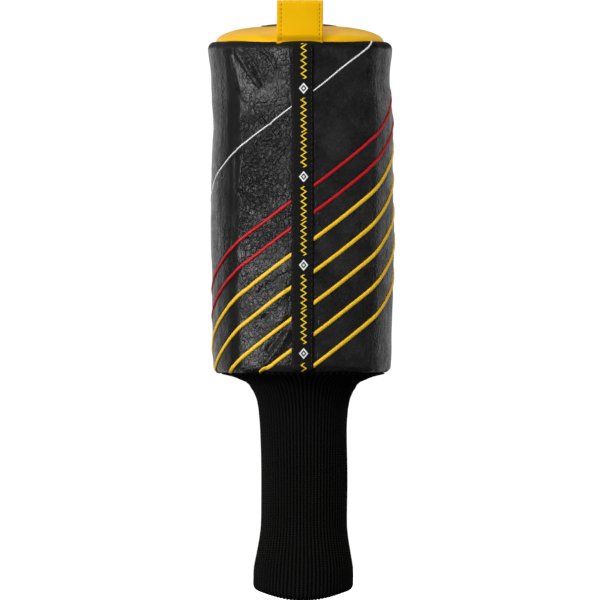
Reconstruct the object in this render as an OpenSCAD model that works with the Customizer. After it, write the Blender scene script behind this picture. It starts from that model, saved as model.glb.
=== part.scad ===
// Barrel headcover for a golf fairway wood.
// +Z is up, millimetres. The origin is the centre of the sock's mouth, and the barrel's
// back seam, with its ribbon and pull tab, faces -Y.

/* [Barrel] */
// Radius of the barrel at its waist, under the shoulder
waist_r = 49; // [44:0.5:60]
// How far the belly stands out beyond the waist
belly_rise = 1.3; // [0.5:0.1:3]
// How far the shoulder stands out beyond the waist
shoulder_rise = 2; // [1:0.1:3]
// Height of the barrel from its bottom edge to its top edge
barrel_h = 182; // [150:1:220]
// Radius of the rolled bottom edge
bottom_roll_r = 3.5; // [3:0.1:4]

/* [Layers] */
// Thickness of the leather
leather_t = 1.2; // [1:0.1:1.4]
// Radius of the inside of the lining
cavity_r = 42.6; // [38:0.2:43]
// Thickness of the lining
lining_t = 1.8; // [1:0.1:2]
// Depth of the seam allowances turned into the barrel
turn_in = 8.5; // [6:0.5:10]

/* [Crown] */
// Height of the crown's dome over the barrel's top edge
crown_rise = 8; // [5:0.5:12]
// Thickness of the crown's foam
crown_foam_t = 4; // [2:0.5:5]
// Radius of the round patch on the crown
patch_r = 21; // [15:1:26]
// Thickness of the patch
patch_t = 1.4; // [1:0.1:2]

/* [Pull tab] */
// Width of the tab
tab_w = 25.4; // [15:0.2:30]
// Height of the tab over the barrel's top edge
tab_h = 22.5; // [15:0.5:30]
// Thickness of the doubled strap
tab_t = 3.2; // [2.4:0.1:3.4]
// Sideways place of the tab
tab_x = -1.5; // [-3:0.5:3]
// How far the tab leans in over the crown, in degrees
tab_lean = 35; // [0:5:35]

/* [Back ribbon] */
// Width of the ribbon
ribbon_w = 12; // [8:1:20]
// Thickness of the ribbon
ribbon_t = 0.8; // [0.5:0.1:1]

/* [Stripes] */
// Height gained by a stripe in one full turn round the barrel
stripe_lead = 216.8; // [180:1:260]
// How far a stripe stands out of the leather
stripe_relief = 0.7; // [0.4:0.1:1]
// How far round from the ribbon a rising stripe may run, in degrees
stripe_reach = 252; // [180:1:330]

/* [Sock] */
// Height of the barrel's bottom edge over the sock's mouth
sock_len = 125.4; // [80:1:200]
// Outside radius of the sock's tube
tube_r = 23.5; // [23:0.5:28]
// Radius of the bore through the sock
bore_r = 20.5; // [18:0.5:21]
// How far the hem stands out beyond the tube
hem_rise = 3.7; // [2:0.1:6]
// Radius of the hem's rounded edge
hem_edge_r = 3.5; // [2:0.5:4]
// Thickness of the knit in the flare
flare_t = 1.8; // [1.4:0.1:2]

/* [Hidden] */
$fn = 96;

// heights
bottom_z = sock_len;
top_z = bottom_z + barrel_h;
belly_top_z = top_z - 17;
shoulder_z = top_z - 5.5;
shoulder_len = 7;
seam_top_z = top_z - turn_in;
seam_bottom_z = bottom_z + turn_in;

// radii of the layers, from the cavity outwards
lining_r = cavity_r + lining_t;
hem_r = lining_r + leather_t;
crown_skirt_r = lining_r + 0.4;
crown_r = crown_skirt_r + 1.4;
top_hem_r = crown_r + leather_t;

// radius of the rolled top edge, which ends just outside the crown
top_roll_x = crown_r + 0.6;
top_roll_r = waist_r + shoulder_rise - top_roll_x;
top_roll_z = top_z - top_roll_r;
arc_steps = 6;
wall_steps = 24;

// Outside radius of the barrel's wall at height z
function belly(z) = z < belly_top_z ? belly_rise * sin(180 * (z - bottom_z) / (belly_top_z - bottom_z)) : 0;
function shoulder(z) = shoulder_rise * exp(-pow((min(z, shoulder_z) - shoulder_z) / shoulder_len, 2));
function wall_r(z) = waist_r + belly(z) + shoulder(z);

wall_low_z = bottom_z + bottom_roll_r;
wall_z = [for (i = [0:wall_steps]) wall_low_z + (top_roll_z - wall_low_z) * i / wall_steps];
wall_table = [for (z = wall_z) [z, wall_r(z)]];

function arc(x, z, r, from, to) =
    [for (i = [0:arc_steps]) let (a = from + (to - from) * i / arc_steps) [x + r * cos(a), z + r * sin(a)]];

function reversed(list) = [for (i = [len(list) - 1:-1:0]) list[i]];

// The barrel's leather, grown outwards by out: bottom roll, wall and top roll
function skin(out) = concat(
    arc(waist_r - bottom_roll_r, wall_low_z, bottom_roll_r + out, -90, -8),
    [for (z = wall_z) [wall_r(z) + out, z]],
    arc(top_roll_x, top_roll_z, top_roll_r + out, 8, 90));

module body_shell() {
    color([0.09, 0.09, 0.09])
    rotate_extrude()
    polygon(concat(
        [[lining_r, seam_bottom_z], [lining_r, bottom_z + 0.8], [lining_r + 0.8, bottom_z]],
        skin(0),
        [[crown_r, top_z - 0.4], [crown_r, seam_top_z], [top_hem_r, seam_top_z]],
        reversed(skin(-leather_t)),
        [[hem_r, bottom_z + leather_t], [hem_r, seam_bottom_z]]));
}

module body_foam() {
    foam_top_z = top_roll_z - 1;
    heights = [seam_bottom_z, each [for (z = wall_z) if (z > seam_bottom_z && z < foam_top_z) z], foam_top_z];
    outside = [for (z = heights) [lookup(z, wall_table) - leather_t, z]];
    color([0.75, 0.75, 0.72])
    rotate_extrude()
    polygon(concat(
        [[lining_r, seam_bottom_z], [lining_r, seam_top_z], [top_hem_r, seam_top_z]],
        [[top_hem_r, foam_top_z]],
        reversed(outside)));
}

module body_lining() {
    color([0.3, 0.3, 0.32])
    translate([0, 0, seam_bottom_z])
    difference() {
        cylinder(r = lining_r, h = seam_top_z - seam_bottom_z + 1);
        translate([0, 0, -1]) cylinder(r = cavity_r, h = barrel_h);
    }
}

// The crown's dome: nearly flat on top, and steep where it meets the barrel's edge
dome_share = [0, 0.17, 0.33, patch_r / crown_r, 0.58, 0.68, 0.77, 0.85, 0.91, 0.955, 0.985, 1];
function dome(r_edge, drop) =
    [for (s = dome_share) [s * r_edge, top_z - drop + crown_rise * sqrt(1 - pow(s, 3))]];

// A layer of the crown, from drop to drop + t under the dome
module crown_layer(r_edge, drop, t) {
    rotate_extrude()
    polygon(concat(dome(r_edge, drop), reversed(dome(r_edge, drop + t))));
}

tab_pivot_y = -(crown_r + 0.4);
tab_half_t = tab_t / 2;
tab_clearance = 0.3;
tab_pivot_z = top_z + tab_half_t + tab_clearance;

crown_leather_t = crown_r - crown_skirt_r;

module crown_panel() {
    color([0.92, 0.7, 0.08])
    difference() {
        rotate_extrude()
        polygon(concat(
            dome(crown_r, 0),
            [[crown_r, seam_top_z], [crown_skirt_r, seam_top_z]],
            reversed(dome(crown_skirt_r, crown_leather_t))));
        translate([tab_x, tab_pivot_y, tab_pivot_z]) {
            rotate([0, 90, 0])
            cylinder(r = tab_half_t + tab_clearance, h = tab_w + 1, center = true);
            // a flat that the tab lies on when it leans right in
            rotate([-tab_lean, 0, 0])
            translate([-(tab_w + 1) / 2, 0, 0])
            cube([tab_w + 1, tab_half_t + tab_clearance, tab_h / 2]);
        }
    }
}

module crown_foam() {
    color([0.75, 0.75, 0.72])
    crown_layer(crown_skirt_r, crown_leather_t, crown_foam_t);
}

module crown_lining() {
    color([0.3, 0.3, 0.32])
    crown_layer(crown_skirt_r, crown_leather_t + crown_foam_t, 1.6);
}

module crown_patch() {
    top = [for (p = dome(crown_r, 0)) if (p[0] <= patch_r + 0.001) p];
    color([0.07, 0.07, 0.07])
    rotate_extrude()
    polygon(concat(top, reversed([for (p = top) [p[0], p[1] + patch_t]])));
}

// A stitch is a short bar lying along X, half sunk in what it sews
stitch_t = 0.6;
module stitch(length) {
    cube([length, stitch_t, stitch_t], center = true);
}

patch_stitch_count = 36;
patch_stitch_r = patch_r - 2;
module patch_stitches() {
    stitch_z = top_z + patch_t + crown_rise * sqrt(1 - pow(patch_stitch_r / crown_r, 3));
    color([0.25, 0.25, 0.25])
    for (i = [0:patch_stitch_count - 1])
        rotate([0, 0, i * 360 / patch_stitch_count])
        translate([0, patch_stitch_r, stitch_z])
        stitch(2.2);
}

module back_ribbon() {
    color([0.12, 0.12, 0.11])
    intersection() {
        rotate_extrude()
        polygon(concat(skin(0), reversed(skin(ribbon_t))));
        translate([-ribbon_w / 2, -2 * waist_r, bottom_z - 1])
        cube([ribbon_w, 2 * waist_r, barrel_h + 0.9]);
    }
}

ribbon_stitch_pitch = 4;
module ribbon_stitches() {
    seam_x = ribbon_w / 2 - 0.9;
    color([0.2, 0.2, 0.2])
    for (side = [-1, 1])
        for (z = [wall_low_z + 3:ribbon_stitch_pitch:top_roll_z - 6])
            translate([side * seam_x, -sqrt(pow(wall_r(z) + ribbon_t, 2) - pow(seam_x, 2)), z])
            rotate([0, 90, 0])
            stitch(2.4);
}

// A satin-stitched stripe follows a helix: z is height_0 at the ribbon and grows to the right.
stripe_gap = 0.5;
stripe_depth = 0.4;
ring_step = 4;
function stripe_z(height_0, turn) = height_0 + stripe_lead * turn / 360;
function stripe_ring(height_0, turn, width) =
    let (z = stripe_z(height_0, turn),
         r = wall_r(z),
         out = [sin(turn), -cos(turn), 0],
         run = [r * cos(turn), r * sin(turn), stripe_lead / (2 * PI)],
         across = cross(out, run / norm(run)),
         place = r * out + [0, 0, z])
    [for (p = [[-0.5, -stripe_depth], [-0.5, 0], [-0.25, stripe_relief],
               [0.25, stripe_relief], [0.5, 0], [0.5, -stripe_depth]])
        place + across * p[0] * width + out * p[1]];

// A closed tube through rings that all have the same number of points
module sweep(rings) {
    sides = len(rings[0]);
    last = len(rings) - 1;
    polyhedron(
        points = [for (ring = rings) for (p = ring) p],
        faces = concat(
            [[for (k = [0:sides - 1]) k]],
            [[for (k = [sides - 1:-1:0]) last * sides + k]],
            [for (i = [0:last - 1]) for (k = [0:sides - 1])
                let (n = (k + 1) % sides)
                [i * sides + k, (i + 1) * sides + k, (i + 1) * sides + n, i * sides + n]]));
}

module stripe_run(height_0, width, from, to) {
    steps = ceil((to - from) / ring_step);
    if (to - from > ring_step)
        sweep([for (i = [0:steps]) stripe_ring(height_0, from + (to - from) * i / steps, width)]);
}

// One stripe: the run that climbs to the right of the ribbon, and the one that falls to its left
module stripe(height_0, width, shade) {
    ribbon_turn = asin((ribbon_w / 2 + stripe_gap) / waist_r);
    turn_at_top = (top_roll_z - height_0) * 360 / stripe_lead;
    turn_at_bottom = (wall_low_z - height_0) * 360 / stripe_lead;
    color(shade) {
        stripe_run(height_0, width, max(ribbon_turn, turn_at_bottom), min(turn_at_top, stripe_reach));
        stripe_run(height_0, width, turn_at_bottom, -ribbon_turn);
    }
}

// Heights of the stripes at the ribbon, and their widths
white_height = bottom_z + 150;
white_w = 0.9;
red_height = bottom_z + 98.3;
red_pitch = 14.6;
red_w = 1.6;
yellow_height = bottom_z + 69;
yellow_pitch = 17.25;
yellow_w = 2.2;
white_shade = [0.88, 0.88, 0.85];
red_shade = [0.75, 0.12, 0.1];
yellow_shade = [0.93, 0.73, 0.1];

module white_stripe() {
    stripe(white_height, white_w, white_shade);
}

module red_stripe(i) {
    stripe(red_height - i * red_pitch, red_w, red_shade);
}

module yellow_stripe(i) {
    stripe(yellow_height - i * yellow_pitch, yellow_w, yellow_shade);
}

// The sock: a knit tube that flares out to the barrel's bottom edge, and a little at its hem
flare_rise = 20.9;
flare_len = 6;
neck_z = sock_len - 24;
hem_start_z = 44;
hem_full_z = 12;
function ease(t) = t <= 0 ? 0 : t >= 1 ? 1 : t * t * (3 - 2 * t);
function sock_r(z) = tube_r + flare_rise * exp((z - bottom_z) / flare_len)
    + hem_rise * ease((hem_start_z - z) / (hem_start_z - hem_full_z));
function sock_slope(z) = flare_rise / flare_len * exp((z - bottom_z) / flare_len);
// The sock's surface at height z, moved inwards by depth along its normal
function sock_point(z, depth) =
    let (lean = norm([1, sock_slope(z)]))
    [sock_r(z) - depth / lean, z + depth * sock_slope(z) / lean];

module sock_neck() {
    flare_top_z = bottom_z - 0.5;
    heights = [for (i = [0:14]) neck_z + (flare_top_z - neck_z) * sin(90 * i / 14)];
    outside = [for (z = heights) sock_point(z, 0)];
    inside = [for (z = heights) if (sock_point(z, flare_t)[1] > neck_z) sock_point(z, flare_t)];
    color([0.05, 0.05, 0.05])
    rotate_extrude()
    polygon(concat(
        [[sock_point(neck_z, flare_t)[0], neck_z]],
        outside,
        [[lining_r, bottom_z + 0.3], [lining_r, seam_bottom_z], [cavity_r, seam_bottom_z]],
        reversed([for (p = inside) if (p[0] < cavity_r && p[0] > bore_r) p])));
}

layer_r = (tube_r + bore_r) / 2;
module sock_outer_layer() {
    low_r = sock_r(hem_edge_r);
    heights = [for (i = [1:16]) hem_edge_r + (neck_z - hem_edge_r) * i / 16];
    color([0.05, 0.05, 0.05])
    rotate_extrude()
    polygon(concat(
        [[layer_r, 0]],
        arc(low_r - hem_edge_r, hem_edge_r, hem_edge_r, -90, 0),
        [for (z = heights) [sock_r(z), z]],
        [[layer_r, neck_z]]));
}

module sock_inner_layer() {
    color([0.08, 0.08, 0.08])
    difference() {
        cylinder(r = layer_r, h = neck_z);
        translate([0, 0, -1]) cylinder(r = bore_r, h = neck_z + 2);
    }
}

// The pull tab: a strap folded double over its top, standing on its hinge line
module pull_tab() {
    fold_z = top_z + tab_h - tab_half_t;
    color([0.9, 0.66, 0.02])
    translate([tab_x - tab_w / 2, tab_pivot_y, 0]) {
        translate([0, 0, tab_pivot_z]) rotate([0, 90, 0]) cylinder(r = tab_half_t, h = tab_w);
        translate([0, 0, fold_z]) rotate([0, 90, 0]) cylinder(r = tab_half_t, h = tab_w);
        translate([0, -tab_half_t, tab_pivot_z]) cube([tab_w, tab_t, fold_z - tab_pivot_z]);
    }
}

tab_stitch_pitch = 2.3;
tab_stitch_inset = 2.2;
module pull_tab_stitches() {
    row_x = tab_w / 2 - tab_stitch_inset;
    color([0.35, 0.22, 0.05])
    for (side = [-1, 1])
        for (face = [-1, 1])
            for (z = [tab_pivot_z + 2.5:tab_stitch_pitch:top_z + tab_h - 3])
                translate([tab_x + side * row_x, tab_pivot_y + face * tab_half_t, z])
                rotate([0, 90, 0])
                stitch(1.5);
}

body_shell();
body_foam();
body_lining();
crown_panel();
crown_foam();
crown_lining();
crown_patch();
patch_stitches();
back_ribbon();
ribbon_stitches();
white_stripe();
red_stripe(0);  // red_stripe_1
red_stripe(1);  // red_stripe_2
yellow_stripe(0);  // yellow_stripe_1
yellow_stripe(1);  // yellow_stripe_2
yellow_stripe(2);  // yellow_stripe_3
yellow_stripe(3);  // yellow_stripe_4
yellow_stripe(4);  // yellow_stripe_5
sock_neck();
sock_outer_layer();
sock_inner_layer();
pull_tab();
pull_tab_stitches();
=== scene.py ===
"""The looks of a barrel headcover for a golf fairway wood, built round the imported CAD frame.

Lengths are in metres. +Z is up, and the back seam, with its ribbon and pull tab, faces -Y.
A turn is an angle round the barrel in radians: 0 at the ribbon, growing towards +X.
"""

import math

import bpy
import numpy as np
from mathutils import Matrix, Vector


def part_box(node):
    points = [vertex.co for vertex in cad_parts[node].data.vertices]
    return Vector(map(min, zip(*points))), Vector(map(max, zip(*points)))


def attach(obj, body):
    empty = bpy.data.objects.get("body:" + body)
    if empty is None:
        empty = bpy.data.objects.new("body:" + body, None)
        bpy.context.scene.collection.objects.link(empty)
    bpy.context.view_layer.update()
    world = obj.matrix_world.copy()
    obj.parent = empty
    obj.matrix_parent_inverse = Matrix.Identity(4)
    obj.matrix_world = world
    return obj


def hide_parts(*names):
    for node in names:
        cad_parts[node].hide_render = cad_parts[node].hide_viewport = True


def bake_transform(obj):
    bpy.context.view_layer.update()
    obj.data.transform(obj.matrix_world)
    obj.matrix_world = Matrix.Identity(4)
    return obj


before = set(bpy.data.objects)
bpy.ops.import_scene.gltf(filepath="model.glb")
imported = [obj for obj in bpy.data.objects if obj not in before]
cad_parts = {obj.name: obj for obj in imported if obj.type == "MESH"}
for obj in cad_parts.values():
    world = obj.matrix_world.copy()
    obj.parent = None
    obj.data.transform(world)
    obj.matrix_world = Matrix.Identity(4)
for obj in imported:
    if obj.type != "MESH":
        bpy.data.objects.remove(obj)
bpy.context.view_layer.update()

MM = 0.001
TAU = 2 * math.pi
SEED = 11


# ---------------------------------------------------------------- sizes from the frame


def points_of(node):
    """The vertices of a CAD node, as an array."""
    return np.array([v.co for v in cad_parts[node].data.vertices], float)


def outline(nodes, least_r):
    """Heights and outside radii of the nodes, from their vertices further out than least_r."""
    co = np.concatenate([points_of(n) for n in nodes])
    r = np.hypot(co[:, 0], co[:, 1])
    z = np.round(co[:, 2], 6)
    heights = np.unique(z[r > least_r])
    return heights, np.array([r[z == h].max() for h in heights])


BOTTOM_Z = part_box("body_shell")[0].z
TOP_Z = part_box("body_shell")[1].z
CROWN_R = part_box("crown_panel")[1].x
CROWN_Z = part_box("crown_panel")[1].z
CAVITY_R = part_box("sock_neck")[1].x - 1.8 * MM
PATCH_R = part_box("crown_patch")[1].x
PATCH_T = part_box("crown_patch")[1].z - CROWN_Z
BORE_R = 20.5 * MM
RIBBON_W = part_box("back_ribbon")[1].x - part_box("back_ribbon")[0].x
TAB_LOW, TAB_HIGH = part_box("pull_tab")
TAB_X = (TAB_LOW.x + TAB_HIGH.x) / 2
TAB_Y = (TAB_LOW.y + TAB_HIGH.y) / 2
TAB_W = TAB_HIGH.x - TAB_LOW.x
BOTTOM_ROLL_R = 3.5 * MM
TOP_ROLL_X = CROWN_R + 0.6 * MM
WALL_Z, WALL_R = outline(["body_shell"], 0.95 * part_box("body_shell")[1].x)
TOP_ROLL_R = WALL_R.max() - TOP_ROLL_X
WALL_LOW_Z = BOTTOM_Z + BOTTOM_ROLL_R
WALL_HIGH_Z = TOP_Z - TOP_ROLL_R
LEATHER_T = 1.2 * MM
SOCK_Z, SOCK_R = outline(["sock_outer_layer", "sock_neck"], BORE_R + 2 * MM)
STRIPE_LEAD = 0.2168
STRIPE_REACH = math.radians(252)


# ---------------------------------------------------------------- noise and easing


lattice = np.random.default_rng(SEED)
LATTICE_VALUES = lattice.uniform(-1, 1, 256)
LATTICE_ORDER = lattice.permutation(256)


def noise(points, cell, seed=0):
    """Smooth noise from -1 to 1 whose lumps are about cell across. cell may differ by axis."""
    q = np.asarray(points, float) / cell + 31.7 * seed + 100
    low = np.floor(q).astype(int)
    f = q - low
    f = f * f * (3 - 2 * f)
    total = 0
    for corner in np.ndindex(2, 2, 2):
        i = (low + corner) & 255
        value = LATTICE_VALUES[LATTICE_ORDER[(LATTICE_ORDER[(LATTICE_ORDER[i[..., 0]] + i[..., 1]) & 255] + i[..., 2]) & 255]]
        weight = np.prod(np.where(corner, f, 1 - f), axis=-1)
        total = total + value * weight
    return total


def ease(t):
    """0 below 0, 1 above 1, and a smooth step between."""
    t = np.clip(t, 0, 1)
    return t * t * (3 - 2 * t)


def bump(x, centre, width):
    """A smooth hump of height 1 at centre."""
    return np.exp(-(((x - centre) / width) ** 2))


def round_z(turn, r, z):
    """The point at a turn, radius and height. The arguments are arrays that broadcast."""
    turn, r, z = np.broadcast_arrays(turn, r, z)
    return np.stack([r * np.sin(turn), -r * np.cos(turn), z], axis=-1)


# ---------------------------------------------------------------- meshes


def add_mesh(name, verts, faces, uv=None):
    """A smooth-shaded object from arrays: verts (n, 3), faces (m, 4) or (m, 3), uv (m, corners, 2)."""
    mesh = bpy.data.meshes.new(name)
    corners = faces.shape[1]
    mesh.vertices.add(len(verts))
    mesh.vertices.foreach_set("co", verts.astype(np.float32).ravel())
    mesh.loops.add(faces.size)
    mesh.loops.foreach_set("vertex_index", faces.astype(np.int32).ravel())
    mesh.polygons.add(len(faces))
    mesh.polygons.foreach_set("loop_start", np.arange(0, faces.size, corners, dtype=np.int32))
    mesh.polygons.foreach_set("use_smooth", np.ones(len(faces), bool))
    if uv is not None:
        layer = mesh.uv_layers.new(name="weave")
        layer.data.foreach_set("uv", uv.astype(np.float32).ravel())
    mesh.update(calc_edges=True)
    mesh.validate()
    obj = bpy.data.objects.new(name, mesh)
    bpy.context.scene.collection.objects.link(obj)
    return obj


def signed_volume(verts, faces):
    a, b, c = (verts[faces[:, k]] for k in range(3))
    volume = np.einsum("ij,ij->i", a, np.cross(b, c)).sum()
    if faces.shape[1] == 4:
        d = verts[faces[:, 3]]
        volume += np.einsum("ij,ij->i", a, np.cross(c, d)).sum()
    return volume


def skin_rings(name, rings, closed="loop", uv=None):
    """A closed mesh through rings of points, shape (rings, points, 3).

    closed is "loop" where the last ring joins the first, as a tyre's do, and "caps" where each end
    is drawn together to a point at its middle. uv, shape (rings, points, 2), is in turns or lengths.
    """
    count, around = rings.shape[:2]
    verts = rings.reshape(-1, 3)
    i, k = np.meshgrid(np.arange(count if closed == "loop" else count - 1), np.arange(around), indexing="ij")
    i2, k2 = (i + 1) % count, (k + 1) % around
    faces = np.stack([i * around + k, i * around + k2, i2 * around + k2, i2 * around + k], -1).reshape(-1, 4)
    corner_uv = None
    if uv is not None:
        corner_uv = np.stack([uv[i, k], uv[i, k2], uv[i2, k2], uv[i2, k]], -2)
        # the seam: the last column's far corners carry on from it, and don't jump back to the first
        step = uv[:, 1:2] - uv[:, 0:1]
        corner_uv[:, -1, 1] = corner_uv[:, -1, 0] + step[:count if closed == "loop" else count - 1, 0]
        corner_uv[:, -1, 2] = corner_uv[:, -1, 3] + step[:count if closed == "loop" else count - 1, 0]
        corner_uv = corner_uv.reshape(-1, 4, 2)
    if closed == "caps":
        middles = np.stack([rings[0].mean(0), rings[-1].mean(0)])
        first, last = len(verts), len(verts) + 1
        verts = np.concatenate([verts, middles])
        ring = np.arange(around)
        after = (ring + 1) % around
        base = (count - 1) * around
        low = np.stack([np.full(around, first), after, ring, ring], -1)
        high = np.stack([np.full(around, last), base + ring, base + after, base + after], -1)
        faces = np.concatenate([triangles(faces), low[:, :3], high[:, :3]])
        if corner_uv is not None:
            quads = corner_uv
            corner_uv = np.concatenate([quads[:, [0, 1, 2]], quads[:, [0, 2, 3]]])
            ends = np.concatenate([np.repeat(uv[0][:, None], 3, 1), np.repeat(uv[-1][:, None], 3, 1)])
            corner_uv = np.concatenate([corner_uv, ends])
    if signed_volume(verts, faces) < 0:
        faces = faces[:, ::-1]
        corner_uv = None if corner_uv is None else corner_uv[:, ::-1]
    return add_mesh(name, verts, faces, corner_uv)


def triangles(quads):
    return np.concatenate([quads[:, [0, 1, 2]], quads[:, [0, 2, 3]]])


def place(obj, material, body, stands_for=()):
    """Gives a finished piece its material slot; a body given by name gets the piece parented to it, and any other body
    only has the piece's transform baked in. Hides the CAD nodes it stands for.
    """
    obj.data.materials.append(material)
    if isinstance(body, str):
        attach(obj, body)
    else:
        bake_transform(obj)
    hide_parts(*stands_for)
    return obj


def capsules(name, centres, runs, outs, length, radius):
    """Many small stitches in one mesh: capsules at centres, each lying along its run."""
    sides, steps = 8, 9
    a = np.linspace(0, TAU, sides, endpoint=False)
    s = np.linspace(-1, 1, steps)
    along = s * length / 2
    # a thread dives into the leather at both ends
    fat = radius * np.sqrt(np.clip(1 - np.abs(s) ** 5, 0.02, 1))
    dive = -0.9 * radius * np.abs(s) ** 3
    verts, faces = [], []
    around = np.arange(sides)
    after = (around + 1) % sides
    for centre, run, out in zip(centres, runs, outs):
        run, out = run / np.linalg.norm(run), out / np.linalg.norm(out)
        side = np.cross(run, out)
        ring = (np.cos(a)[:, None] * side + np.sin(a)[:, None] * out)
        body = centre + along[:, None, None] * run + fat[:, None, None] * ring + dive[:, None, None] * out
        base = len(verts) * (steps * sides + 2)
        verts.append(np.concatenate([body.reshape(-1, 3), [body[0].mean(0)], [body[-1].mean(0)]]))
        for i in range(steps - 1):
            low, high = base + i * sides, base + (i + 1) * sides
            faces.append(np.stack([low + around, low + after, high + after], -1))
            faces.append(np.stack([low + around, high + after, high + around], -1))
        first, last = base + steps * sides, base + steps * sides + 1
        faces.append(np.stack([np.full(sides, first), base + after, base + around], -1))
        top = base + (steps - 1) * sides
        faces.append(np.stack([np.full(sides, last), top + around, top + after], -1))
    verts, faces = np.concatenate(verts), np.concatenate(faces)
    if signed_volume(verts, faces) < 0:
        faces = faces[:, ::-1]
    return add_mesh(name, verts, faces)


# ---------------------------------------------------------------- materials


class Shader:
    """A material's node tree, with short calls for the nodes that the materials share."""

    def __init__(self, name):
        self.material = bpy.data.materials.new(name)
        self.material.use_nodes = True
        self.tree = self.material.node_tree
        self.surface = self.tree.nodes["Principled BSDF"]

    def node(self, kind, settings=None, **inputs):
        made = self.tree.nodes.new(kind)
        for key, value in (settings or {}).items():
            setattr(made, key, value)
        for key, value in inputs.items():
            self.feed(made.inputs[int(key[1:]) if key[0] == "i" and key[1:].isdigit() else key.replace("_", " ")], value)
        return made

    def feed(self, socket, value):
        if isinstance(value, bpy.types.NodeSocket):
            self.tree.links.new(value, socket)
        elif isinstance(value, bpy.types.Node):
            self.tree.links.new(value.outputs[0], socket)
        else:
            socket.default_value = value

    def math(self, operation, a, b=0.0, c=0.0, clamp=False):
        made = self.node("ShaderNodeMath", {"operation": operation, "use_clamp": clamp}, i0=a, i1=b, i2=c)
        return made.outputs[0]

    def place(self, scale=(1, 1, 1), uv=False):
        """Object coordinates, or the weave's own, scaled by axis."""
        if uv:
            source = self.node("ShaderNodeUVMap", {"uv_map": "weave"}).outputs[0]
        else:
            source = self.node("ShaderNodeTexCoord").outputs["Object"]
        return self.node("ShaderNodeMapping", Vector=source, Scale=scale).outputs[0]

    def noise(self, at, scale, detail=3.0, roughness=0.55, distortion=0.0):
        made = self.node("ShaderNodeTexNoise", Vector=at, Scale=scale, Detail=detail, Roughness=roughness, Distortion=distortion)
        return made.outputs["Fac"]

    def cells(self, at, scale, feature="F1", randomness=1.0, smoothness=None):
        made = self.node("ShaderNodeTexVoronoi", {"feature": feature}, Vector=at, Scale=scale, Randomness=randomness)
        if smoothness is not None:
            made.inputs["Smoothness"].default_value = smoothness
        return made.outputs["Distance"]

    def steps(self, value, low, high, to_low=0.0, to_high=1.0):
        made = self.node("ShaderNodeMapRange", {"interpolation_type": "SMOOTHSTEP"}, Value=value)
        for key, number in (("From Min", low), ("From Max", high), ("To Min", to_low), ("To Max", to_high)):
            self.feed(made.inputs[key], number)
        return made.outputs[0]

    def mix(self, share, a, b):
        made = self.node("ShaderNodeMix", {"data_type": "RGBA"})
        self.feed(made.inputs[0], share)
        self.feed(made.inputs[6], a if not isinstance(a, tuple) else (*a, 1))
        self.feed(made.inputs[7], b if not isinstance(b, tuple) else (*b, 1))
        return made.outputs[2]

    def relief(self, layers):
        """Bumps from (height, depth in metres) pairs, one over the other, onto the surface's normal."""
        normal = None
        for height, depth in layers:
            made = self.node("ShaderNodeBump", Height=height, Distance=depth, Strength=1.0)
            if normal is not None:
                self.feed(made.inputs["Normal"], normal)
            normal = made.outputs[0]
        self.feed(self.surface.inputs["Normal"], normal)

    def set(self, **inputs):
        for key, value in inputs.items():
            socket = self.surface.inputs[key.replace("_", " ")]
            self.feed(socket, (*value, 1) if isinstance(value, tuple) and len(value) == 3 else value)
        return self


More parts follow.
